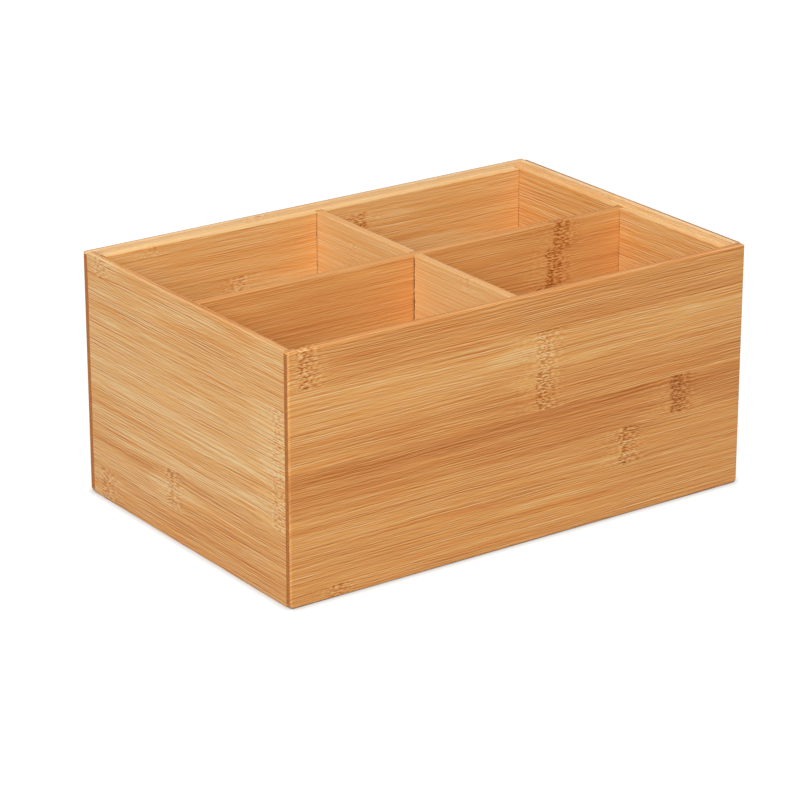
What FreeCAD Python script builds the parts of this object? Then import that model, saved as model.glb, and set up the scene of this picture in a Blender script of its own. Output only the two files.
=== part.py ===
import FreeCAD, Part
import math
import os
from FreeCAD import Vector

# Open storage box of bamboo boards, with two crossed dividers that lift out of their grooves.
# +X runs along the length, +Y to the back and +Z up.
# The origin is in the middle of the underside.

# Driving dimensions in millimetres: the whole box
box_length = 300.0
box_depth = 200.0
box_height = 140.0

# Wall boards, and the rebate that runs round the inner edge of the rim
wall_thickness = 9.0
rim_lip = 4.0
rim_rebate = 3.0

# Tongue that the corner rebate leaves at the ends of the long walls, which covers the short walls' ends
corner_tongue = 4.0

# Sanded edges, as radii
outer_ease = 1.0
rim_corner_ease = 1.2
foot_corner_ease = 2.0
lip_ease = 0.6
ledge_ease = 1.0
seam_ease = 0.4
divider_ease = 0.8

# Base panel, in a groove round the foot of the walls
base_thickness = 5.0
base_lift = 4.0
base_groove_depth = 4.0

# Dividers, in upright grooves that are open at the ledge
divider_thickness = 5.0
divider_groove_depth = 3.0
crossing_length_share = 0.5
crossing_depth_share = 0.5
crossing_height_share = 0.5

# Clearances: glued seams, the base's edges in their groove, and the dividers' loose fit
glue_line = 0.1
base_edge_clearance = 0.3
divider_side_clearance = 0.3
divider_end_clearance = 0.3
divider_seat_clearance = 0.2
divider_top_clearance = 0.2
half_slot_clearance = 0.5

# How far a cut runs past the face that it starts from
cut_overrun = 1.0

# Places that follow from the dimensions
half_length = box_length / 2
half_depth = box_depth / 2
ledge_height = box_height - rim_rebate
base_top = base_lift + base_thickness
crossing_x = box_length * crossing_length_share - half_length
crossing_y = box_depth * crossing_depth_share - half_depth
divider_bottom = base_top + divider_seat_clearance
divider_top = ledge_height - divider_top_clearance
crossing_height = divider_bottom + (divider_top - divider_bottom) * crossing_height_share
half_slot = divider_thickness / 2 + divider_side_clearance
divider_end_in = wall_thickness - divider_groove_depth + divider_end_clearance
base_edge_in = wall_thickness - base_groove_depth + base_edge_clearance


def rounded_corner(before, corner, after, radius):
    """Give the start, middle and end of the arc that rounds a corner of an outline."""
    to_before = (before - corner).normalize()
    to_after = (after - corner).normalize()
    half_angle = to_before.getAngle(to_after) / 2
    tangent = radius / math.tan(half_angle)
    inward = (to_before + to_after).normalize()
    middle = corner + inward * (radius / math.sin(half_angle) - radius)
    return corner + to_before * tangent, middle, corner + to_after * tangent


def outline(corners):
    """Make a closed wire from a list of (point, radius), where a radius of 0 is a sharp corner."""
    stretches = []
    for index, (point, radius) in enumerate(corners):
        before = corners[index - 1][0]
        after = corners[(index + 1) % len(corners)][0]
        if radius:
            stretches.append(rounded_corner(before, point, after, radius))
        else:
            stretches.append((point,))
    edges = []
    for index, stretch in enumerate(stretches):
        if len(stretch) > 1:
            edges.append(Part.Arc(*stretch).toShape())
        following = stretches[(index + 1) % len(stretches)]
        edges.append(Part.LineSegment(stretch[-1], following[0]).toShape())
    return Part.Wire(edges)


def pushed(corners, place, low, high):
    """Push an outline of (u, v, radius) corners from low to high. place(u, v, w) gives the point in space."""
    face = Part.Face(outline([(place(u, v, low), radius) for u, v, radius in corners]))
    return face.extrude(place(0, 0, high) - place(0, 0, low))


def block(first, second):
    """Make a box between two opposite corners."""
    low = Vector(*map(min, first, second))
    size = Vector(*map(max, first, second)) - low
    return Part.makeBox(size.x, size.y, size.z, low)


def wall_section():
    """Give the corners of every wall's section, as distance in from the outer face, and height."""
    return [
        (0, 0, outer_ease),
        (0, box_height, outer_ease),
        (rim_lip, box_height, lip_ease),
        (rim_lip, ledge_height, 0),
        (wall_thickness, ledge_height, ledge_ease),
        (wall_thickness, 0, 0),
    ]


def grooved(board, place, half_run, crossing):
    """Cut the base's groove and one upright divider groove into a wall's inner face."""
    past_face = wall_thickness + cut_overrun
    base_groove = block(
        place(-half_run - cut_overrun, wall_thickness - base_groove_depth, base_lift - glue_line),
        place(half_run + cut_overrun, past_face, base_top + glue_line),
    )
    divider_groove = block(
        place(crossing - half_slot, wall_thickness - divider_groove_depth, base_lift),
        place(crossing + half_slot, past_face, box_height + cut_overrun),
    )
    return board.cut(base_groove).cut(divider_groove)


def long_wall(side):
    """Make the front wall (side -1) or the back wall (side 1), with a tongue at both ends."""
    def place(along, inward, up):
        return Vector(along, side * (half_depth - inward), up)

    shoulder = half_length - wall_thickness - glue_line
    section = pushed(wall_section(), lambda u, v, w: place(w, u, v), -half_length, half_length)
    elevation = pushed([
        (-half_length, 0, foot_corner_ease),
        (half_length, 0, foot_corner_ease),
        (half_length, box_height, rim_corner_ease),
        (-half_length, box_height, rim_corner_ease),
    ], lambda u, v, w: place(u, w, v), 0, wall_thickness)
    plan = pushed([
        (-half_length, 0, outer_ease),
        (half_length, 0, outer_ease),
        (half_length, corner_tongue, 0),
        (shoulder, corner_tongue, 0),
        (shoulder, wall_thickness, 0),
        (-shoulder, wall_thickness, 0),
        (-shoulder, corner_tongue, 0),
        (-half_length, corner_tongue, 0),
    ], place, 0, box_height)
    return grooved(section.common(elevation).common(plan), place, half_length, crossing_x)


def short_wall(side):
    """Make the left wall (side -1) or the right wall (side 1), which fits between the long walls' tongues."""
    def place(along, inward, up):
        return Vector(side * (half_length - inward), along, up)

    half_run = half_depth - corner_tongue - glue_line
    section = pushed(wall_section(), lambda u, v, w: place(w, u, v), -half_run, half_run)
    plan = pushed([
        (-half_run, 0, seam_ease),
        (half_run, 0, seam_ease),
        (half_run, wall_thickness, 0),
        (-half_run, wall_thickness, 0),
    ], place, 0, box_height)
    return grooved(section.common(plan), place, half_run, crossing_y)


def base_panel():
    """Make the panel that lies in the groove of all four walls."""
    half_x = half_length - base_edge_in
    half_y = half_depth - base_edge_in
    return block((-half_x, -half_y, base_lift), (half_x, half_y, base_top))


def divider_board(place, half_run):
    """Make a divider without its half-slot. place(across, along, up) gives the point in space."""
    half_thickness = divider_thickness / 2
    return pushed([
        (-half_thickness, divider_bottom, 0),
        (-half_thickness, divider_top, divider_ease),
        (half_thickness, divider_top, divider_ease),
        (half_thickness, divider_bottom, 0),
    ], lambda u, v, w: place(u, w, v), -half_run, half_run)


def short_divider():
    """Make the divider across the depth, with its half-slot open at the top."""
    def place(across, along, up):
        return Vector(crossing_x + across, along, up)

    board = divider_board(place, half_depth - divider_end_in)
    half_slot_cut = block(
        (crossing_x - divider_thickness, crossing_y - half_slot, crossing_height - half_slot_clearance / 2),
        (crossing_x + divider_thickness, crossing_y + half_slot, divider_top + cut_overrun),
    )
    return board.cut(half_slot_cut)


def long_divider():
    """Make the divider along the length, with its half-slot open at the bottom."""
    def place(across, along, up):
        return Vector(along, crossing_y + across, up)

    board = divider_board(place, half_length - divider_end_in)
    half_slot_cut = block(
        (crossing_x - half_slot, crossing_y - divider_thickness, divider_bottom - cut_overrun),
        (crossing_x + half_slot, crossing_y + divider_thickness, crossing_height + half_slot_clearance / 2),
    )
    return board.cut(half_slot_cut)


pieces = {
    "front_wall": long_wall(-1),
    "back_wall": long_wall(1),
    "left_wall": short_wall(-1),
    "right_wall": short_wall(1),
    "base_panel": base_panel(),
    "short_divider": short_divider(),
    "long_divider": long_divider(),
}

os.makedirs("parts", exist_ok=True)
for name, shape in pieces.items():
    shape.exportStep(f"parts/{name}.step")
    print(name, "solids", len(shape.Solids), "volume", round(shape.Volume), "valid", shape.isValid())
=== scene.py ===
import math
import random
from collections import namedtuple

import bmesh
import bpy
from bpy.props import FloatProperty, FloatVectorProperty, PointerProperty
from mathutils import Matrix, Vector


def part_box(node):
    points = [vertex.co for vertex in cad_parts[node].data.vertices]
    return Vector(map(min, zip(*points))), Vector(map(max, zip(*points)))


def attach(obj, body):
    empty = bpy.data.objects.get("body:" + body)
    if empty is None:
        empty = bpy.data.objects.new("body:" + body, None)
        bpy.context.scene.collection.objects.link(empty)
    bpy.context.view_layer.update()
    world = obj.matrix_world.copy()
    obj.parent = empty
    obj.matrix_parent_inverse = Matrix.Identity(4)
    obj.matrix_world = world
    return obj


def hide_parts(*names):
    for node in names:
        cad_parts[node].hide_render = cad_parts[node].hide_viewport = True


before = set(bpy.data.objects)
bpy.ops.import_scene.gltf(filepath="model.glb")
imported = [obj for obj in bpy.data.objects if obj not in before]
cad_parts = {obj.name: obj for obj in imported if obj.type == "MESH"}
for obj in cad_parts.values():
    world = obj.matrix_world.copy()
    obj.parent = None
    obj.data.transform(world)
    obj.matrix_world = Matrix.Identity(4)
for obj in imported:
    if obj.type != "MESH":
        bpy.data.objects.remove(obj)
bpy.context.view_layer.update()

bl_info = {
    "name": "Bamboo storage box",
    "version": (1, 0, 0),
    "blender": (4, 5, 0),
    "location": "View3D > Sidebar > Bamboo Box",
    "description": "Glued bamboo boards, lift-out dividers and studio stage for a storage box",
    "category": "Object",
}

# A bamboo strip: its tone, about -1 where dark and 2 where very pale, the place of its node in millimetres
# along the board or None, how strongly that node is marked, and how much darker than the strip it is.
# Places run left to right as seen from outside the board.
Strip = namedtuple("Strip", "tone node strength shade", defaults=(0.0, None, 0.0, 0.0))

# The strips of a layer from the top down, and the height in millimetres of the first, which is often
# cut narrow
Layer = namedtuple("Layer", "first strips")

# Layers given one by one, by board and by the side that they show on
LAYERS = {
    ("front_wall", "outer"): Layer(21.9, (
        Strip(-0.1, -139, 1.0, 0.2),
        Strip(0.75, 13, 0.9),
        Strip(0.0, 13, 1.0, 0.3),
        Strip(-0.6, 105, 1.0, 1.0),
        Strip(0.2, 70, 1.0, 0.4),
        Strip(0.15),
        Strip(0.2, -121, 0.9, 0.4),
    )),
    ("left_wall", "outer"): Layer(10.8, (
        Strip(1.05, -82, 0.9),
        Strip(1.15),
        Strip(1.25, 90, 0.9),
        Strip(1.65, 90, 0.9),
        Strip(1.2, 90, 0.9),
        Strip(0.65, -13, 1.0, 0.3),
        Strip(0.35, -82, 1.0, 0.3),
    )),
    ("back_wall", "outer"): Layer(15.0, (
        Strip(0.2, 39, 0.8),
        Strip(-0.2, -64, 0.9, 0.4),
        Strip(0.1, 118, 0.9),
        Strip(0.5, 118, 0.9),
        Strip(-0.4, -20, 1.0, 0.8),
        Strip(0.0),
        Strip(0.2, 60, 0.8),
    )),
    ("back_wall", "inner"): Layer(8.8, (
        Strip(1.05, 113, 0.4),
        Strip(0.95, -26, 0.9, 0.7),
        Strip(1.05, 56, 0.8),
        Strip(0.75, -96, 0.8),
        Strip(0.85),
        Strip(0.65, 30, 0.8),
        Strip(0.75),
    )),
    ("right_wall", "inner"): Layer(17.2, (
        Strip(1.05),
        Strip(0.95),
        Strip(1.25),
        Strip(0.95, 40, 0.8),
        Strip(1.05),
        Strip(1.15, -60, 0.8),
        Strip(1.05),
    )),
    ("right_wall", "outer"): Layer(18.0, (
        Strip(0.2, 15, 0.7),
        Strip(0.0, -70, 0.9),
        Strip(-0.3, -70, 0.9, 0.3),
        Strip(0.1, 52, 1.0, 0.5),
        Strip(0.5),
        Strip(-0.1, 20, 0.8),
        Strip(0.1),
    )),
    ("long_divider", "outer"): Layer(14.5, (
        Strip(0.35, 99, 1.0, 0.9),
        Strip(0.1, 94, 1.0, 0.9),
        Strip(0.3, 88, 1.0, 0.9),
        Strip(0.3, -60, 0.9),
        Strip(0.4),
        Strip(0.2, 20, 0.9),
    )),
    ("short_divider", "outer"): Layer(9.0, (
        Strip(1.8, -50, 0.3),
        Strip(1.7, 56, 0.3),
        Strip(1.55),
        Strip(1.65, -20, 0.6),
        Strip(1.45),
        Strip(1.55, 60, 0.6),
    )),
}

# How a board looks apart from its strips: how strongly its marks show; what is added to the tone of its
# ledge; of the step above that, painted light for an upright face that gets less light; of its lip or top;
# and of that one's outer edge, painted light and shade: painted shade on the back and right walls, whose
# edges turn from the light, and a painted highlight on the front wall and the dividers; how much of a
# greyer colour the step gets, part of its painted light; and whether the lip or top has lost its shine to
# sanding
Board = namedtuple("Board", "figure ledge step lip edge fresh dull")
BOARDS = {
    "front_wall": Board(1.0, 0.0, 0.0, -0.5, 0.2, 0.0, True),
    "back_wall": Board(0.85, 1.75, 1.6, 2.3, -3.0, 0.5, False),
    "left_wall": Board(1.35, 0.0, 0.0, -0.85, -0.1, 0.0, True),
    "right_wall": Board(1.15, 1.05, 1.1, 2.7, -2.1, 0.35, False),
    "base_panel": Board(1.0, 0.0, 0.0, 0.0, 0.0, 0.0, False),
    "short_divider": Board(0.6, 0.0, 0.0, -1.0, 0.5, 0.0, False),
    "long_divider": Board(0.7, 0.0, 0.0, -0.45, 0.1, 0.0, True),
}

# What strips are drawn from where none are listed: tones, places in millimetres and strengths
# of nodes, how many of the strips have a node, and heights of the first strip in millimetres
SPARE_TONES = (-0.25, 0.3)
SPARE_NODES = (-140, 140)
SPARE_STRENGTHS = (0.6, 0.9)
SPARE_NODE_SHARE = 0.6
SPARE_FIRSTS = (8, 20)


def linear(hex_colour):
    """Turn an sRGB hex colour to linear red, green and blue."""
    values = [int(hex_colour[place:place + 2], 16) / 255 for place in (1, 3, 5)]
    return tuple(v / 12.92 if v <= 0.04045 else ((v + 0.055) / 1.055) ** 2.4 for v in values)


def length(name, description, default):
    """Make a length property in metres."""
    return FloatProperty(name=name, description=description, default=default, unit="LENGTH", precision=5)


def share(name, description, default):
    """Make a plain number property."""
    return FloatProperty(name=name, description=description, default=default, precision=3)


def angle(name, description, degrees):
    """Make an angle property from degrees."""
    return FloatProperty(name=name, description=description, default=math.radians(degrees), subtype="ANGLE")


def power(name, description, default):
    """Make a property for the power of a lamp in watts."""
    return FloatProperty(name=name, description=description, default=default, min=0, unit="POWER")


def colour(name, description, hex_colour):
    """Make a colour property from an sRGB hex value."""
    return FloatVectorProperty(
        name=name, description=description, default=linear(hex_colour), subtype="COLOR", min=0, max=1)


class BoardSizes(bpy.types.PropertyGroup):
    """Sizes of the joinery that the boards' outer boxes don't give."""
    lip: length("Lip", "Thickness of the rim's lip and of the tongues at the long walls' ends", 0.004)
    step: length("Rim step", "Depth of the step inside the lip", 0.003)
    glue_line: length("Glue line", "Gap between two glued boards", 0.0001)
    outer_ease: length("Outer ease", "Radius of the sanded outer edges", 0.001)
    rim_corner_ease: length("Rim corner ease", "Radius of the rim's corners, seen from the side", 0.0012)
    foot_corner_ease: length("Foot corner ease", "Radius of the foot's corners, seen from the side", 0.002)
    lip_ease: length("Lip ease", "Radius of the lip's inner edge", 0.0003)
    ledge_ease: length("Ledge ease", "Radius of the ledge's inner edge", 0.0004)
    seam_ease: length("Seam ease", "Radius of the short walls' upright edges", 0.0004)
    divider_ease: length("Divider ease", "Radius of the dividers' top edges", 0.0003)
    base_groove_depth: length("Base groove", "Depth of the groove that holds the base panel", 0.004)
    divider_groove_depth: length("Divider groove", "Depth of the grooves that hold the dividers", 0.00271)
    slot_clearance: length("Slot clearance", "Gap at each side of a divider in its slots", 0.00006)
    joint_gap: length("Joint gap", "Gap that shows in the inner corners of the walls", 0.0003)
    half_slot_gap: length("Half-slot gap", "Gap between the two half-slots' ends", 0.0005)
    tear: length("Tear", "How far fibres tear out at the edge of a groove across the grain", 0.0004)
    half_slot_tear: length("Half-slot tear", "How far fibres tear out at the edge of a half-slot", 0.0008)
    tear_depth: length("Tear depth", "How deep below the face the fibres tear out", 0.0016)
    tear_spacing: length("Tear spacing", "Spacing of the torn fibres along a cut", 0.0012)
    tear_below: length("Tear below", "How far below the top of a slot the fibres start to tear out", 0.0008)
    strip: length("Strip", "Width of the bamboo strips", 0.0222)
    # The band along the rim's outer edge carries painted light and shade
    edge_light_band: length("Edge band", "Width of the sanded band along the rim's outer edge", 0.0016)
    # The dark band at each side of the crossing is painted shade for the gap there
    gap_shade_band: length(
        "Witness mark", "Width of the dark mark that a slot's edges leave on the other divider", 0.0005)
    overrun: length("Overrun", "How far a cutter stands past the face that it cuts", 0.001)


class BambooFinish(bpy.types.PropertyGroup):
    """Colours and grain of the lacquered bamboo."""
    node_dark: colour("Node dark", "Dark dashes in a node", "#874408")
    dark: colour("Dark", "Dark fibres", "#AE6422")
    middle: colour("Middle", "Mean colour of the strips", "#CE884A")
    pale: colour("Pale", "Soft tissue between the fibres", "#E1A760")
    node_pale: colour("Node pale", "Pale dashes in a node and sanded edges", "#EDCC98")
    amber: colour("Amber", "Tint of the streaks that are rich in sugar", "#FFE0A8")
    # Greyer colour mixed into the rim's step, part of the painted light there
    fresh: colour("Fresh", "Freshly cut wood, which is less caramelised", "#C9BB9C")
    end_dark: colour("End dark", "Fibre ends in end grain", "#8C4E1C")
    end_pale: colour("End pale", "Tissue between the fibre ends", "#B8722F")
    mean_level: share("Mean level", "Where the mean lies between the darkest and the palest colour", 0.57)
    tone_step: share("Tone step", "How much a step of tone changes the level", 0.14)
    band: length("Band", "Width of the tone bands across the grain", 0.0045)
    band_run: length("Band run", "Length of the tone bands along the grain", 0.6)
    band_depth: share("Band depth", "How strongly the tone bands show", 0.13)
    patch: length("Patch", "Width of the tone patches across the grain", 0.008)
    patch_run: length("Patch run", "Length of the tone patches along the grain", 0.06)
    patch_depth: share("Patch depth", "How strongly the tone patches show", 0.15)
    fibre: length("Fibre", "Width of the fibre bundles across the grain", 0.0011)
    fibre_run: length("Fibre run", "Length of the fibre bundles along the grain", 0.16)
    fibre_depth: share("Fibre depth", "How strongly the fibre bundles show", 0.21)
    hair: length("Hair", "Width of the finest fibres across the grain", 0.00055)
    hair_run: length("Hair run", "Length of the finest fibres along the grain", 0.09)
    hair_depth: share("Hair depth", "How strongly the finest fibres show", 0.31)
    tuft_run: length("Tuft run", "Length of the shorter ones among the finest fibres", 0.04)
    tuft_depth: share("Tuft depth", "How strongly the shorter ones show", 0.22)
    fleck_run: length("Fleck run", "Length of the flecks in the finest fibres", 0.009)
    fleck_depth: share("Fleck depth", "How strongly the flecks show", 0.22)
    streak: length("Streak", "Width of the amber streaks across the grain", 0.0025)
    streak_run: length("Streak run", "Length of the amber streaks along the grain", 0.08)
    streak_depth: share("Streak depth", "How strongly the amber streaks show", 0.38)
    ripple: length("Ripple", "How far the fibres stray from straight", 0.0016)
    ripple_run: length("Ripple run", "Length over which the fibres stray", 0.07)
    node_half: length("Node half width", "Half the width of a node along the grain", 0.0055)
    node_reach: length("Node reach", "How far from a node the fibres spread", 0.05)
    node_spread: share("Node spread", "How far the fibres spread at a node, as a share of the strip", 0.12)
    node_wander: length("Node wander", "How far a node strays along the grain", 0.004)
    node_ragged: length("Node raggedness", "How far a node's dashes reach past its edge", 0.005)
    node_depth: share("Node depth", "How dark the dark dashes in a node are", 0.3)
    node_light: share("Node light", "How pale the pale dashes in a node are", 0.2)
    node_shade: share("Node shade", "How much darker a dark node is at its left edge", 0.2)
    node_bloom: share("Node bloom", "How much paler the strip is near a node", 0.07)
    node_fade: length("Node fade", "How far right of its left edge a node fades away", 0.024)
    node_approach: share("Node approach", "How strongly dashes show in the fibres left of a node", 0.25)
    dash: length("Dash", "Width of the dashes in a node", 0.0009)
    dash_run: length("Dash run", "Length of the dashes in a node", 0.003)
    dash_edge: share("Dash edge", "How softly a dark dash turns to a pale one", 0.1)
    seam: length("Seam", "Width of the glue line between two strips", 0.0004)
    seam_depth: share("Seam depth", "How dark the glue line is", 0.12)
    pore: length("Pore", "Spacing of the fibre ends in end grain", 0.0009)
    relief: length("Relief", "Depth of the fibres under the lacquer", 0.0002)
    roughness: share("Roughness", "Roughness of the satin lacquer", 0.5)
    end_roughness: share("End roughness", "Roughness of end grain, which soaks up more lacquer", 0.6)
    gloss_change: share("Gloss change", "How much rougher the fibres are than the tissue", 0.25)
    shine: share("Shine", "Specular level of the lacquer", 0.5)
    dull_shine: share("Dull shine", "Specular level where sanding has thinned the lacquer", 0.1)
    lacquer_ior: share("Lacquer IOR", "Index of refraction of the lacquer", 1.42)


# Width of the camera's sensor in millimetres, and how far the camera sees in metres
SENSOR_WIDTH = 36
CLIP_END = 50


class StageLight(bpy.types.PropertyGroup):
    """Camera and light of the studio."""
    azimuth: angle("Azimuth", "Turn of the camera about the box", -35.52)
    elevation: angle("Elevation", "Height of the camera above the horizon", 20.79)
    distance: length("Distance", "Distance from the camera to the middle of the box", 1.889)
    aim_height: length("Aim height", "Height of the point that the camera goes round", 0.07)
    aim_right: length("Aim right", "How far the camera stands to its right of that line", -0.00813)
    aim_up: length("Aim up", "How far the camera stands above that line", -0.01757)
    lens: FloatProperty(
        name="Lens", description=f"Focal length in millimetres on a {SENSOR_WIDTH} mm sensor",
        default=154.2, subtype="DISTANCE_CAMERA")
    floor_width: length("Floor width", "Width of the floor", 12.0)
    floor: colour("Floor", "Colour of the floor", "#898987")
    floor_lift: share("Floor lift", "Light that the floor adds to its own picture, up to white", 0.86)
    contact: length("Contact", "How far from the foot of the box the floor's contact shadow reaches", 0.006)
    room_level: share("Room level", "Strength of the even light of the room", 0.24)
    key_azimuth: angle("Key azimuth", "Turn of the soft light about the box", -44)
    key_elevation: angle("Key elevation", "Height of the soft light above the horizon", 39)
    key_power: power("Key power", "Power of the soft light", 174)
    fill_azimuth: angle("Fill azimuth", "Turn of the weak light behind the box", 146)
    fill_elevation: angle("Fill elevation", "Height of the weak light above the horizon", 10)
    fill_power: power("Fill power", "Power of the weak light", 40)
    lamp_distance: length("Lamp distance", "Distance from both lights to the middle of the box", 3.6)
    lamp_width: length("Lamp width", "Width of both lights", 3.0)


class BambooBoxSettings(bpy.types.PropertyGroup):
    """All settings of the box."""
    sizes: PointerProperty(type=BoardSizes)
    finish: PointerProperty(type=BambooFinish)
    stage: PointerProperty(type=StageLight)


# A length that counts as none, and a millimetre, both in metres
NEAR = 1e-5
MM = 0.001

# Segments of a rounded edge, and of one so small that fewer do
EASE_SEGMENTS = 3
FINE_SEGMENTS = 2


def start_block(name, low, high):
    """Add a block between two corners, with its place in its mesh."""
    bpy.ops.object.select_all(action="DESELECT")
    bpy.ops.mesh.primitive_cube_add(size=1, location=(Vector(low) + Vector(high)) / 2)
    block = bpy.context.object
    block.name = block.data.name = name
    bpy.ops.transform.resize(value=Vector(high) - Vector(low))
    bpy.ops.object.transform_apply(location=True, rotation=True, scale=True)
    return block


def select(block, kind, test):
    """In edit mode, select the faces, edges or verts whose points pass a test, and nothing else."""
    bpy.ops.mesh.select_mode(type={"faces": "FACE", "edges": "EDGE", "verts": "VERT"}[kind])
    bpy.ops.mesh.select_all(action="DESELECT")
    mesh = bmesh.from_edit_mesh(block.data)
    found = 0
    for part in getattr(mesh, kind):
        points = [part.co] if kind == "verts" else [vert.co for vert in part.verts]
        passes = bool(test(points))
        part.select_set(passes)
        found += passes
    if not found:
        raise RuntimeError(f"{block.name} has none of the {kind} that were to be shaped")
    mesh.select_flush_mode()
    bmesh.update_edit_mesh(block.data)


def on_plane(axis, place):
    """Give a test that is true where every point lies on a plane square to an axis."""
    return lambda points: all(abs(point[axis] - place) < NEAR for point in points)


def bisect(axis, place):
    """In edit mode, cut the whole mesh along a plane square to an axis, and keep both halves."""
    point = [0, 0, 0]
    point[axis] = place
    normal = [0, 0, 0]
    normal[axis] = 1
    bpy.ops.mesh.select_all(action="SELECT")
    bpy.ops.mesh.bisect(plane_co=point, plane_no=normal)


def push(block, test, offset):
    """In edit mode, extrude the faces that pass a test."""
    select(block, "faces", test)
    bpy.ops.mesh.extrude_region_move(TRANSFORM_OT_translate={"value": offset})


def ease(block, test, radius, segments=EASE_SEGMENTS):
    """In edit mode, round the edges that pass a test."""
    select(block, "edges", test)
    bpy.ops.mesh.bevel(offset=radius, segments=segments, affect="EDGES", clamp_overlap=False)


def cut(block, cutter):
    """Take a cutter out of a block, and delete the cutter."""
    bpy.ops.object.select_all(action="DESELECT")
    bpy.context.view_layer.objects.active = block
    block.select_set(True)
    boolean = block.modifiers.new("Cut", "BOOLEAN")
    boolean.object = cutter
    boolean.solver = "EXACT"
    bpy.ops.object.modifier_apply(modifier=boolean.name)
    bpy.data.objects.remove(cutter)


def torn_cutter(sizes, low, high, mouths, tear, tear_top, seed):
    """Add a cutter for an upright slot that tears out fibres below a height where it opens.

    mouths holds the y of each opening, and the side that is outward there. tear gives how far the slot
    widens there, and how far each point then strays, so the tears reach at most twice as far.
    """
    cutter = start_block("slot_cutter", low, high)
    bpy.ops.object.mode_set(mode="EDIT")
    for place, side in mouths:
        bisect(1, place - side * sizes.tear_depth)
        bisect(1, place)
    select(cutter, "edges", lambda points: abs(points[0].z - points[1].z) > NEAR)
    bpy.ops.mesh.subdivide(number_cuts=round((high[2] - low[2]) / sizes.tear_spacing))

    def at_mouth(point):
        return point.z < tear_top and any((point.y - place) * side > -NEAR for place, side in mouths)

    middle = (low[0] + high[0]) / 2
    for side in (-1, 1):
        select(cutter, "verts", lambda points: at_mouth(points[0]) and (points[0].x - middle) * side > 0)
        bpy.ops.transform.translate(value=(side * tear, 0, 0))
    select(cutter, "verts", lambda points: at_mouth(points[0]))
    bpy.ops.transform.vertex_random(offset=tear, seed=seed)
    bpy.ops.object.mode_set(mode="OBJECT")
    return cutter


def layer_of(sizes, name, side, height):
    """Give a board's layer, made up from a seed where none is listed."""
    if (name, side) in LAYERS:
        return LAYERS[name, side]
    draw = random.Random(name + side)
    strips = []
    for _ in range(math.ceil(height / sizes.strip) + 1):
        tone = draw.uniform(*SPARE_TONES)
        node = draw.uniform(*SPARE_NODES) if draw.random() < SPARE_NODE_SHARE else None
        strips.append(Strip(tone, node, draw.uniform(*SPARE_STRENGTHS) if node is not None else 0.0))
    return Layer(draw.uniform(*SPARE_FIRSTS), tuple(strips))


def seams(layer, top, width):
    """Give the heights of a layer's seams from the top down."""
    return [top - layer.first * MM - width * index for index in range(len(layer.strips) - 1)]


# A place that nothing reaches, how far up a face must look to belong to the lip's top and not to the step,
# and how far along the board to count as end grain, both as a part of its normal
FAR = 10.0
EDGE_TURN = 0.35
END_GRAIN_TURN = 0.98

# Painted shade: what is added to the tone of the wood in a slot and beside the crossing, which darkens
# their gaps as shade would
GAP_SHADE = -5.0

# How far apart the strips of two boards are numbered, so that no two strips share a number
STRIPS_APART = 20

# Places of the materials on a board
LACQUERED, END_GRAIN, DULL = range(3)

# Edges that turn more than this stay sharp
SMOOTH_ANGLE = math.radians(35)


def mark_strips(sizes, board, name, layers, across, outer_depth, rim_height, gap_shade_span):
    """Cut a board along its strips' seams, and keep on its faces what the bamboo needs to know.

    layers holds the outer and the inner layer. across is the axis that the strips lie side by side on.
    outer_depth gives how deep the outer layer goes from the board's lowest y.
    The faces from rim_height up get the tones that BOARDS gives, with painted light on the step and painted
    light and shade along the outer edge. The last argument gives between which distances from the board's
    middle the faces in and beside a slot get the painted shade of its gap.
    """
    width = sizes.strip
    look = BOARDS[name]
    lows = [min(vert.co[axis] for vert in board.data.vertices) for axis in range(3)]
    highs = [max(vert.co[axis] for vert in board.data.vertices) for axis in range(3)]
    bpy.ops.object.mode_set(mode="EDIT")
    for layer in layers:
        for height in seams(layer, highs[across], width):
            if lows[across] + NEAR < height < highs[across] - NEAR:
                bisect(across, height)
    bpy.ops.object.mode_set(mode="OBJECT")

    mesh = board.data
    through = 3 - across
    strips, nodes, boards = [], [], []
    for face in mesh.polygons:
        deep = face.center.y - lows[1] > outer_depth
        layer = layers[-1] if deep else layers[0]
        index = sum(face.center[across] < height for height in seams(layer, highs[across], width))
        shown = layer.strips[index]
        tone = shown.tone
        fresh = 0.0
        face.material_index = LACQUERED
        if face.center.z > rim_height - NEAR:
            from_face = min(face.center.y - lows[1], highs[1] - face.center.y)
            if deep:
                tone += look.ledge
            # The upright step gets painted light: a paler tone and a greyer colour that make up for the
            # light it lacks
            elif face.normal.z < EDGE_TURN:
                tone += look.step
                fresh = look.fresh
            # Along the outer edge the tone carries painted light and shade: darker where the edge turns
            # from the light, paler where it faces it
            elif from_face < sizes.edge_light_band:
                tone += look.edge
            else:
                tone += look.lip
                if look.dull:
                    face.material_index = DULL
        else:
            from_middle = max(abs(mesh.vertices[corner].co.x) for corner in face.vertices)
            # In and beside a slot the tone is darkened: painted shade for its gap
            if gap_shade_span[0] < from_middle < gap_shade_span[1]:
                tone += GAP_SHADE
        boards += (look.figure, fresh, 0.0)
        number = index + len(layer.strips) * deep + STRIPS_APART * list(BOARDS).index(name)
        strips += (tone, number, highs[across] - layer.first * MM - width * index)
        nodes += (shown.node * MM if shown.node is not None else FAR, shown.strength, shown.shade)
        if abs(face.normal.x) > END_GRAIN_TURN:
            face.material_index = END_GRAIN
    grain = []
    for vert in mesh.vertices:
        grain += (vert.co.x, vert.co[through], vert.co[across])
    for key, domain, values in (
        ("grain", "POINT", grain),
        ("strip", "FACE", strips),
        ("node", "FACE", nodes),
        ("board", "FACE", boards),
    ):
        mesh.attributes.new(key, "FLOAT_VECTOR", domain).data.foreach_set("vector", values)


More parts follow.
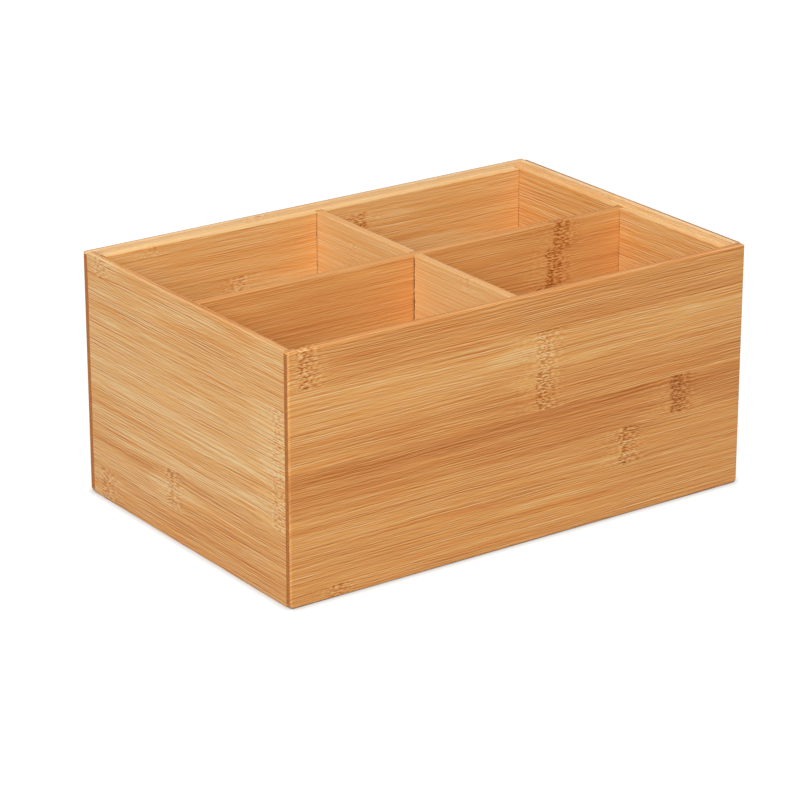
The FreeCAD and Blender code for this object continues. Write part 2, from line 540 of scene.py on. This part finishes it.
def stay_inside(board, name):
    """Stop where a board leaves the box of the CAD node that it stands for."""
    low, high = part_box(name)
    for axis in range(3):
        places = [vert.co[axis] for vert in board.data.vertices]
        if min(places) < low[axis] - NEAR or max(places) > high[axis] + NEAR:
            raise RuntimeError(f"{board.name} leaves the box of {name} along axis {axis}")


def finish_board(context, board, name, body, turn):
    """Give a board its bamboo, turn it to its place and tie it to the frame."""
    board.data.materials.append(bamboo(context, False))
    board.data.materials.append(bamboo_end_grain(context))
    if BOARDS[name].dull:
        board.data.materials.append(bamboo(context, True))
    board.rotation_euler.z = turn
    bpy.ops.object.select_all(action="DESELECT")
    context.view_layer.objects.active = board
    board.select_set(True)
    bpy.ops.object.transform_apply(location=True, rotation=True, scale=True)
    stay_inside(board, name)
    # The torn slots leave faces with many corners, which split cleanly only by this method
    bpy.ops.object.mode_set(mode="EDIT")
    bpy.ops.mesh.select_all(action="SELECT")
    bpy.ops.mesh.quads_convert_to_tris(quad_method="BEAUTY", ngon_method="BEAUTY")
    bpy.ops.object.mode_set(mode="OBJECT")
    bpy.ops.object.shade_smooth_by_angle(angle=SMOOTH_ANGLE)
    flat = board.modifiers.new("Flat faces", "WEIGHTED_NORMAL")
    flat.keep_sharp = True
    bpy.ops.object.modifier_apply(modifier=flat.name)
    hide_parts(name)
    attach(board, body)


def wall_board(context, name, half_run, outer, thickness, height, half_shoulder, turn, seed):
    """Model a wall as if it stood at the front, with its rebates and grooves, and turn it to its side."""
    sizes = context.scene.bamboo_box.sizes
    base_low, base_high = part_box("base_panel")
    divider_low, divider_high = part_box("short_divider")
    half_slot = (divider_high.x - divider_low.x) / 2 + sizes.slot_clearance
    ledge = height - sizes.step
    inner = outer + thickness
    lip_face = outer + sizes.lip
    has_tongues = half_shoulder < half_run

    board = start_block(name + "_board", (-half_shoulder, outer, 0), (half_shoulder, inner, ledge))
    bpy.ops.object.mode_set(mode="EDIT")
    bisect(1, lip_face)

    def in_lip(points):
        return all(point.y < lip_face + NEAR for point in points)

    if has_tongues:
        for side in (-1, 1):
            end = on_plane(0, side * half_shoulder)
            reach = side * (half_run - half_shoulder)
            push(board, lambda points: end(points) and in_lip(points), (reach, 0, 0))
    on_ledge = on_plane(2, ledge)
    push(board, lambda points: on_ledge(points) and in_lip(points), (0, 0, sizes.step))

    on_outer = on_plane(1, outer)
    on_top = on_plane(2, height)
    on_foot = on_plane(2, 0)
    if has_tongues:
        def at_end(points):
            return all(abs(abs(point.x) - half_run) < NEAR for point in points)
        ease(board, lambda points: at_end(points) and on_foot(points), sizes.foot_corner_ease)
        ease(board, lambda points: at_end(points) and on_top(points), sizes.rim_corner_ease)
        ease(board, on_outer, sizes.outer_ease)
    else:
        def upright(points):
            return abs(points[0].z - points[1].z) > NEAR
        ease(board, lambda points: on_outer(points) and upright(points), sizes.seam_ease, FINE_SEGMENTS)
        ease(
            board, lambda points: on_outer(points) and (on_top(points) or on_foot(points)),
            sizes.outer_ease)
    at_lip = on_plane(1, lip_face)
    ease(board, lambda points: at_lip(points) and on_top(points), sizes.lip_ease, FINE_SEGMENTS)
    at_inner = on_plane(1, inner)
    ease(board, lambda points: at_inner(points) and on_ledge(points), sizes.ledge_ease)
    bpy.ops.object.mode_set(mode="OBJECT")

    cut(board, start_block(
        "groove_cutter",
        (-half_run - sizes.overrun, inner - sizes.base_groove_depth, base_low.z - sizes.glue_line),
        (half_run + sizes.overrun, inner + sizes.overrun, base_high.z + sizes.glue_line)))
    cut(board, torn_cutter(
        sizes,
        (-half_slot, inner - sizes.divider_groove_depth, base_low.z),
        (half_slot, inner + sizes.overrun, height + sizes.overrun),
        ((inner, 1),), sizes.tear, ledge - sizes.tear_below, seed))
    layers = [layer_of(sizes, name, side, height) for side in ("outer", "inner")]
    # The rim's outer edge is cut off as a band for its painted light and shade
    bpy.ops.object.mode_set(mode="EDIT")
    bisect(1, outer + sizes.edge_light_band)
    bpy.ops.object.mode_set(mode="OBJECT")
    mark_strips(
        sizes, board, name, layers, 2, sizes.lip + NEAR, ledge, (0, half_slot + 2 * sizes.tear))
    finish_board(context, board, name, "box", turn)


class BAMBOO_BOX_OT_walls(bpy.types.Operator):
    """Model the four wall boards, rebated at the rim and grooved for the base and the dividers"""
    bl_idname = "bamboo_box.walls"
    bl_label = "Wall boards"

    def execute(self, context):
        sizes = context.scene.bamboo_box.sizes
        front_low, front_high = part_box("front_wall")
        left_low, left_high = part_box("left_wall")
        thickness = front_high.y - front_low.y
        height = front_high.z
        half_shoulder = front_high.x - thickness - sizes.joint_gap
        for name, turn, seed in (("front_wall", 0, 1), ("back_wall", math.pi, 2)):
            wall_board(
                context, name, front_high.x, front_low.y, thickness, height, half_shoulder, turn, seed)
        for name, turn, seed in (("left_wall", -math.pi / 2, 3), ("right_wall", math.pi / 2, 4)):
            wall_board(
                context, name, left_high.y, left_low.x, thickness, height, left_high.y, turn, seed)
        return {"FINISHED"}


class BAMBOO_BOX_OT_base(bpy.types.Operator):
    """Model the base panel that lies in the walls' groove"""
    bl_idname = "bamboo_box.base"
    bl_label = "Base panel"

    def execute(self, context):
        sizes = context.scene.bamboo_box.sizes
        low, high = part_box("base_panel")
        panel = start_block("base_panel_board", low, high)
        bpy.ops.object.mode_set(mode="EDIT")
        bpy.ops.mesh.select_all(action="SELECT")
        bpy.ops.mesh.bevel(offset=sizes.seam_ease, segments=FINE_SEGMENTS, affect="EDGES")
        bpy.ops.object.mode_set(mode="OBJECT")
        layer = layer_of(sizes, "base_panel", "outer", high.y - low.y)
        mark_strips(sizes, panel, "base_panel", [layer], 1, FAR, high.z, (0, 0))
        finish_board(context, panel, "base_panel", "box", 0)
        return {"FINISHED"}


class BAMBOO_BOX_OT_dividers(bpy.types.Operator):
    """Model the two dividers, which cross in half-slots and lift out"""
    bl_idname = "bamboo_box.dividers"
    bl_label = "Dividers"

    def execute(self, context):
        sizes = context.scene.bamboo_box.sizes
        long_low, long_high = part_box("long_divider")
        short_low, short_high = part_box("short_divider")
        half_thickness = (long_high.y - long_low.y) / 2
        half_slot = half_thickness + sizes.slot_clearance
        crossing = (long_low.z + long_high.z) / 2
        past = sizes.overrun
        long_slot = (long_low.z - past, crossing + sizes.half_slot_gap / 2)
        short_slot = (crossing - sizes.half_slot_gap / 2, short_high.z + past)
        for name, (slot_low, slot_high), half_run, turn, seed in (
            ("long_divider", long_slot, long_high.x, 0, 5),
            ("short_divider", short_slot, short_high.y, math.pi / 2, 6),
        ):
            board = start_block(
                name + "_board",
                (-half_run, -half_thickness, long_low.z), (half_run, half_thickness, long_high.z))
            bpy.ops.object.mode_set(mode="EDIT")
            on_top = on_plane(2, long_high.z)
            ease(
                board, lambda points: on_top(points) and abs(points[0].x - points[1].x) > NEAR,
                sizes.divider_ease)
            bpy.ops.object.mode_set(mode="OBJECT")
            cut(board, torn_cutter(
                sizes,
                (-half_slot, -half_thickness - past, slot_low),
                (half_slot, half_thickness + past, slot_high),
                ((-half_thickness, -1), (half_thickness, 1)),
                sizes.half_slot_tear, long_high.z - sizes.tear_below, seed))
            bpy.ops.object.mode_set(mode="EDIT")
            # Cut off a band at each side of the crossing, to carry the painted shade of its gap
            clear = half_thickness - sizes.gap_shade_band
            for place in (-half_thickness, -clear, clear, half_thickness):
                bisect(0, place)
            bpy.ops.object.mode_set(mode="OBJECT")
            layer = layer_of(sizes, name, "outer", long_high.z - long_low.z)
            mark_strips(
                sizes, board, name, [layer], 2, FAR, long_high.z - sizes.divider_ease,
                (clear + NEAR, half_slot + 2 * sizes.half_slot_tear))
            finish_board(context, board, name, name, turn)
        return {"FINISHED"}


def add(tree, kind, inputs=(), output=0, **settings):
    """Add a node with its settings and inputs, link those that are sockets, and give one output."""
    made = tree.nodes.new(kind)
    for name, value in settings.items():
        setattr(made, name, value)
    for key, value in (inputs.items() if isinstance(inputs, dict) else enumerate(inputs)):
        if isinstance(value, bpy.types.NodeSocket):
            tree.links.new(value, made.inputs[key])
        else:
            made.inputs[key].default_value = value
    return made.outputs[output] if made.outputs else None


def start_material(name):
    """Make an empty node material, and give it with its node tree."""
    material = bpy.data.materials.new(name)
    material.use_nodes = True
    material.node_tree.nodes.clear()
    return material, material.node_tree


def rgba(value):
    """Add an opaque alpha to a colour."""
    return (*value, 1)


# The mean of Blender's noise
NOISE_MEAN = 0.5


def grain_marks(tree, place, run, width, detail=0.0, fine=False):
    """Add random marks drawn out along the grain, with values from about -0.5 to 0.5.

    place holds metres along and across the grain. run is the marks' length and width their width, in
    metres. detail says how many times finer marks are laid over them.
    Fine marks are the difference of two patterns side by side, which leaves no broad bands among them.
    """
    drawn_out = add(tree, "ShaderNodeVectorMath", [place, (run, width, 1.0)], operation="DIVIDE")
    places = [drawn_out]
    if fine:
        places.append(add(tree, "ShaderNodeVectorMath", [drawn_out, (0.0, 1.0, 0.0)], operation="ADD"))
    patterns = [
        add(
            tree, "ShaderNodeTexNoise", {"Vector": read_at, "Scale": 1.0, "Detail": detail},
            noise_dimensions="2D")
        for read_at in places
    ]
    taken_off = patterns[1] if fine else NOISE_MEAN
    return add(tree, "ShaderNodeMath", [patterns[0], taken_off], operation="SUBTRACT")


# How far apart along and across the grain two strips read the same patterns, in metres
STRIP_SHIFT = (0.53, 0.041, 0.0)

# Where the dark, middle and pale colours lie between the darkest, at 0, and the palest, at 1
RAMP_PLACES = (0.28, 0.5, 0.72)

# How much the patches break up the pale bloom near a node, and where that starts and is full
BLOOM_PATCHES = 2.0
BLOOM_FROM, BLOOM_TO = 0.3, 0.9

# Where in their pattern the amber streaks start and are full
STREAK_FROM, STREAK_TO = 0.02, 0.2

# How much of the fibres' relief shows under the lacquer
RELIEF_SHOWN = 0.2

# How far from the middle of a fibre end the tissue starts and is full, as a share of the spacing
TISSUE_FROM, TISSUE_TO = 0.15, 0.6


def bamboo(context, dull):
    """Caramelised bamboo: flat-pressed strips, edge-glued, sanded and sealed with a thin satin lacquer.

    Fine darker fibres run through paler tissue, with amber streaks where the steamed sugar is dense.
    Each strip has its own tone, and at a node the fibres spread and break up into short dashes.
    The finest fibres are about 0.3 mm wide in real bamboo, and are drawn coarser so that they show.
    Where it is dull, sanding has thinned the lacquer.
    """
    name = "Caramelised bamboo, " + ("sanded dull" if dull else "satin lacquer")
    if name in bpy.data.materials:
        return bpy.data.materials[name]
    look = context.scene.bamboo_box.finish
    sizes = context.scene.bamboo_box.sizes
    material, tree = start_material(name)

    grain = add(tree, "ShaderNodeAttribute", output="Vector", attribute_name="grain")
    strip = add(tree, "ShaderNodeAttribute", output="Vector", attribute_name="strip")
    node = add(tree, "ShaderNodeAttribute", output="Vector", attribute_name="node")
    board = add(tree, "ShaderNodeAttribute", output="Vector", attribute_name="board")
    along, through, across = add(tree, "ShaderNodeSeparateXYZ", [grain]).node.outputs
    tone, number, low_edge = add(tree, "ShaderNodeSeparateXYZ", [strip]).node.outputs
    node_place, strength, shade = add(tree, "ShaderNodeSeparateXYZ", [node]).node.outputs
    strong, fresh, _ = add(tree, "ShaderNodeSeparateXYZ", [board]).node.outputs

    # Across and through are added up, so that the grain runs on round the board's edges
    sideways = add(tree, "ShaderNodeMath", [across, through], operation="ADD")
    place = add(tree, "ShaderNodeCombineXYZ", [along, sideways])
    place = add(tree, "ShaderNodeVectorMath", [number, STRIP_SHIFT, place], operation="MULTIPLY_ADD")

    # The distance along the grain from the strip's node, which strays a little
    stray = grain_marks(tree, place, look.node_reach, sizes.lip)
    from_node = add(tree, "ShaderNodeMath", [along, node_place], operation="SUBTRACT")
    from_node = add(tree, "ShaderNodeMath", [stray, look.node_wander, from_node], operation="MULTIPLY_ADD")

    # How near the node is, further on its left side, where the fibres spread towards it
    before = add(
        tree, "ShaderNodeMapRange", [from_node, -look.node_reach, 0.0, 0.0, 1.0],
        interpolation_type="SMOOTHSTEP")
    after = add(
        tree, "ShaderNodeMapRange", [from_node, 0.0, look.node_reach / 2, 1.0, 0.0],
        interpolation_type="SMOOTHSTEP")
    near_node = add(tree, "ShaderNodeMath", [before, after], operation="MULTIPLY")
    near_node = add(tree, "ShaderNodeMath", [near_node, strength], operation="MULTIPLY")
    middle = add(tree, "ShaderNodeMath", [low_edge, sizes.strip / 2], operation="ADD")
    off_middle = add(tree, "ShaderNodeMath", [across, middle], operation="SUBTRACT")
    spread = add(tree, "ShaderNodeMath", [near_node, -look.node_spread], operation="MULTIPLY")
    ripple = grain_marks(tree, place, look.ripple_run, sizes.strip / 2, 1.0)
    ripple = add(tree, "ShaderNodeMath", [ripple, look.ripple], operation="MULTIPLY")
    bend = add(tree, "ShaderNodeMath", [off_middle, spread, ripple], operation="MULTIPLY_ADD")
    bend = add(tree, "ShaderNodeCombineXYZ", [0.0, bend])
    fibre_place = add(tree, "ShaderNodeVectorMath", [place, bend], operation="ADD")

    # The level runs from the darkest colour to the palest. It adds up the strip's tone, bands, patches
    # and fibres
    fibres = grain_marks(tree, fibre_place, look.fibre_run, look.fibre)
    patches = grain_marks(tree, fibre_place, look.patch_run, look.patch, 1.0)
    bloom = add(tree, "ShaderNodeMath", [patches, BLOOM_PATCHES, near_node], operation="MULTIPLY_ADD")
    bloom = add(
        tree, "ShaderNodeMapRange", [bloom, BLOOM_FROM, BLOOM_TO, 0.0, 1.0],
        interpolation_type="SMOOTHSTEP")
    bands = grain_marks(tree, fibre_place, look.band_run, look.band)
    figure = add(tree, "ShaderNodeMath", [bands, look.band_depth], operation="MULTIPLY")
    for marks, depth in (
        (patches, look.patch_depth),
        (fibres, look.fibre_depth),
        (grain_marks(tree, fibre_place, look.hair_run, look.hair, fine=True), look.hair_depth),
        (grain_marks(tree, fibre_place, look.tuft_run, look.hair, fine=True), look.tuft_depth),
        (grain_marks(tree, fibre_place, look.fleck_run, look.hair, fine=True), look.fleck_depth),
        (bloom, look.node_bloom),
    ):
        figure = add(tree, "ShaderNodeMath", [marks, depth, figure], operation="MULTIPLY_ADD")
    level = add(tree, "ShaderNodeMath", [tone, look.tone_step, look.mean_level], operation="MULTIPLY_ADD")
    level = add(tree, "ShaderNodeMath", [figure, strong, level], operation="MULTIPLY_ADD")

    # A node starts at a ragged edge on its left and fades to the right, and the fibres break up before it
    dashes = grain_marks(tree, place, look.dash_run, look.dash, 1.0)
    ragged = add(tree, "ShaderNodeMath", [dashes, look.node_ragged, from_node], operation="MULTIPLY_ADD")
    left_edge = add(
        tree, "ShaderNodeMapRange",
        [ragged, -look.node_half - look.dash, -look.node_half + look.dash, 0.0, 1.0],
        interpolation_type="SMOOTHSTEP")
    fade = add(
        tree, "ShaderNodeMapRange",
        [from_node, -look.node_half, look.node_fade - look.node_half, 1.0, 0.0],
        interpolation_type="SMOOTHSTEP")
    in_node = add(tree, "ShaderNodeMath", [left_edge, fade], operation="MULTIPLY")
    approach = add(
        tree, "ShaderNodeMapRange",
        [from_node, -look.node_half - look.node_fade, -look.node_half, 0.0, look.node_approach])
    approach = add(tree, "ShaderNodeMath", [approach, fade], operation="MULTIPLY")
    broken = add(tree, "ShaderNodeMath", [in_node, approach], operation="MAXIMUM")
    broken = add(tree, "ShaderNodeMath", [broken, strength], operation="MULTIPLY")

    # Short dark and pale dashes break it up, and a dark node is darkest at its left edge
    crisp = add(
        tree, "ShaderNodeMapRange",
        [dashes, -look.dash_edge, look.dash_edge, -look.node_depth, look.node_light],
        interpolation_type="SMOOTHSTEP")
    level = add(tree, "ShaderNodeMath", [crisp, broken, level], operation="MULTIPLY_ADD")
    darker = add(tree, "ShaderNodeMath", [in_node, -look.node_shade], operation="MULTIPLY")
    level = add(tree, "ShaderNodeMath", [darker, shade, level], operation="MULTIPLY_ADD")

    # A fine dark glue line runs along each seam
    seam_gap = add(tree, "ShaderNodeMath", [across, low_edge], operation="SUBTRACT")
    glue = add(
        tree, "ShaderNodeMapRange", [seam_gap, 0.0, look.seam, -look.seam_depth, 0.0],
        interpolation_type="SMOOTHSTEP")
    level = add(tree, "ShaderNodeMath", [level, glue], operation="ADD")
    body = add(tree, "ShaderNodeValToRGB", [level])
    stops = body.node.color_ramp.elements
    stops[0].color = rgba(look.node_dark)
    stops[1].color = rgba(look.node_pale)
    for position, value in zip(RAMP_PLACES, (look.dark, look.middle, look.pale)):
        stops.new(position).color = rgba(value)
    streaks = grain_marks(tree, fibre_place, look.streak_run, look.streak, 1.0)
    streaks = add(
        tree, "ShaderNodeMapRange", [streaks, STREAK_FROM, STREAK_TO, 0.0, look.streak_depth],
        interpolation_type="SMOOTHSTEP")
    streaks = add(tree, "ShaderNodeMath", [streaks, strong], operation="MULTIPLY")
    body = add(
        tree, "ShaderNodeMix", {"Factor": streaks, "A": body, "B": rgba(look.amber)}, "Result",
        data_type="RGBA", blend_type="MULTIPLY")
    # The step's greyer colour, part of its painted light
    body = add(
        tree, "ShaderNodeMix", {"Factor": fresh, "A": body, "B": rgba(look.fresh)}, "Result",
        data_type="RGBA")

    height = add(tree, "ShaderNodeMath", [dashes, broken, fibres], operation="MULTIPLY_ADD")
    bump = add(
        tree, "ShaderNodeBump", {"Strength": RELIEF_SHOWN, "Distance": look.relief, "Height": height})
    rough = add(
        tree, "ShaderNodeMath", [fibres, -look.gloss_change, look.roughness], operation="MULTIPLY_ADD")
    shader = add(
        tree, "ShaderNodeBsdfPrincipled",
        {"Base Color": body, "Roughness": rough, "IOR": look.lacquer_ior,
         "Specular IOR Level": look.dull_shine if dull else look.shine, "Normal": bump})
    add(tree, "ShaderNodeOutputMaterial", [shader])
    return material


def bamboo_end_grain(context):
    """End grain of bamboo: dark cut fibre ends in brown tissue, which soaks up more lacquer."""
    name = "Bamboo end grain, satin lacquer"
    if name in bpy.data.materials:
        return bpy.data.materials[name]
    look = context.scene.bamboo_box.finish
    material, tree = start_material(name)
    grain = add(tree, "ShaderNodeAttribute", output="Vector", attribute_name="grain")
    pores = add(tree, "ShaderNodeTexVoronoi", {"Vector": grain, "Scale": 1 / look.pore})
    tissue = add(tree, "ShaderNodeMapRange", [pores, TISSUE_FROM, TISSUE_TO, 0.0, 1.0])
    body = add(
        tree, "ShaderNodeMix", {"Factor": tissue, "A": rgba(look.end_dark), "B": rgba(look.end_pale)},
        "Result", data_type="RGBA")
    shader = add(
        tree, "ShaderNodeBsdfPrincipled",
        {"Base Color": body, "Roughness": look.end_roughness, "IOR": look.lacquer_ior})
    add(tree, "ShaderNodeOutputMaterial", [shader])
    return material


def shown_to_eye(tree):
    """Give 1 where a ray comes from the camera, straight, mirrored or through glass, and 0 elsewhere."""
    path = add(tree, "ShaderNodeLightPath").node.outputs
    shown = add(
        tree, "ShaderNodeMath", [path["Is Camera Ray"], path["Is Glossy Ray"]], operation="MAXIMUM")
    return add(tree, "ShaderNodeMath", [shown, path["Is Transmission Ray"]], operation="MAXIMUM")


def seen_from(turn, rise):
    """Give the direction from the box to an eye or a lamp at a turn and a rise about it."""
    return Vector((math.sin(turn) * math.cos(rise), -math.cos(turn) * math.cos(rise), math.sin(rise)))


class BAMBOO_BOX_OT_stage(bpy.types.Operator):
    """Add the floor, the room, the two soft lights and the camera"""
    bl_idname = "bamboo_box.stage"
    bl_label = "Studio stage"

    def execute(self, context):
        settings = context.scene.bamboo_box.stage
        middle = Vector((0, 0, settings.aim_height))
        bpy.ops.object.select_all(action="DESELECT")
        bpy.ops.mesh.primitive_plane_add(size=settings.floor_width)
        floor = context.object
        floor.name = "studio_floor"
        material, tree = start_material("Matt white studio floor")
        lift = add(tree, "ShaderNodeMath", [shown_to_eye(tree), settings.floor_lift], operation="MULTIPLY")
        open_floor = add(tree, "ShaderNodeAmbientOcclusion", {"Distance": settings.contact}, "AO")
        lift = add(tree, "ShaderNodeMath", [lift, open_floor], operation="MULTIPLY")
        glow = add(tree, "ShaderNodeEmission", {"Strength": lift})
        matt = add(tree, "ShaderNodeBsdfDiffuse", [rgba(settings.floor)])
        add(tree, "ShaderNodeOutputMaterial", [add(tree, "ShaderNodeAddShader", [matt, glow])])
        floor.data.materials.append(material)

        world = bpy.data.worlds.new("Light tent")
        context.scene.world = world
        world.use_nodes = True
        tree = world.node_tree
        tree.nodes.clear()
        level = add(tree, "ShaderNodeMapRange", [shown_to_eye(tree), 0.0, 1.0, settings.room_level, 1.0])
        sky = add(tree, "ShaderNodeBackground", {"Color": (1, 1, 1, 1), "Strength": level})
        add(tree, "ShaderNodeOutputWorld", [sky])

        # The fill only lifts the far sides, so the lacquer mirrors the key alone
        for name, azimuth, elevation, energy, mirrored in (
            ("Key softbox", settings.key_azimuth, settings.key_elevation, settings.key_power, True),
            ("Fill softbox", settings.fill_azimuth, settings.fill_elevation, settings.fill_power, False),
        ):
            towards = seen_from(azimuth, elevation)
            bpy.ops.object.light_add(
                type="AREA", location=middle + towards * settings.lamp_distance,
                rotation=towards.to_track_quat("Z", "Y").to_euler())
            lamp = context.object
            lamp.name = name
            lamp.data.size = settings.lamp_width
            lamp.data.energy = energy
            lamp.visible_glossy = mirrored

        back = seen_from(settings.azimuth, settings.elevation)
        right = Vector((math.cos(settings.azimuth), math.sin(settings.azimuth), 0))
        place = middle + back * settings.distance
        place += right * settings.aim_right + back.cross(right) * settings.aim_up
        bpy.ops.object.camera_add(location=place, rotation=back.to_track_quat("Z", "Y").to_euler())
        camera = context.object
        camera.data.lens = settings.lens
        camera.data.sensor_width = SENSOR_WIDTH
        camera.data.clip_end = CLIP_END
        context.scene.camera = camera
        context.scene.view_settings.view_transform = "Standard"
        return {"FINISHED"}


class BAMBOO_BOX_PT_panel(bpy.types.Panel):
    """Lists the box's pieces and settings"""
    bl_label = "Bamboo Box"
    bl_idname = "BAMBOO_BOX_PT_panel"
    bl_space_type = "VIEW_3D"
    bl_region_type = "UI"
    bl_category = "Bamboo Box"

    def draw(self, context):
        for operator in OPERATORS:
            self.layout.operator(operator.bl_idname)
        settings = context.scene.bamboo_box
        for group in (settings.sizes, settings.finish, settings.stage):
            box = self.layout.box()
            for key in group.__annotations__:
                box.prop(group, key)


OPERATORS = (BAMBOO_BOX_OT_walls, BAMBOO_BOX_OT_base, BAMBOO_BOX_OT_dividers, BAMBOO_BOX_OT_stage)
CLASSES = (BoardSizes, BambooFinish, StageLight, BambooBoxSettings, *OPERATORS, BAMBOO_BOX_PT_panel)


def register():
    """Register the classes and hang the settings on the scene."""
    for registered in CLASSES:
        bpy.utils.register_class(registered)
    bpy.types.Scene.bamboo_box = PointerProperty(type=BambooBoxSettings)


def unregister():
    """Take the settings and the classes away again."""
    del bpy.types.Scene.bamboo_box
    for registered in reversed(CLASSES):
        bpy.utils.unregister_class(registered)


def main():
    """Model the box on its stage."""
    register()
    bpy.ops.bamboo_box.walls()
    bpy.ops.bamboo_box.base()
    bpy.ops.bamboo_box.dividers()
    bpy.ops.bamboo_box.stage()


if __name__ == "__main__":
    main()
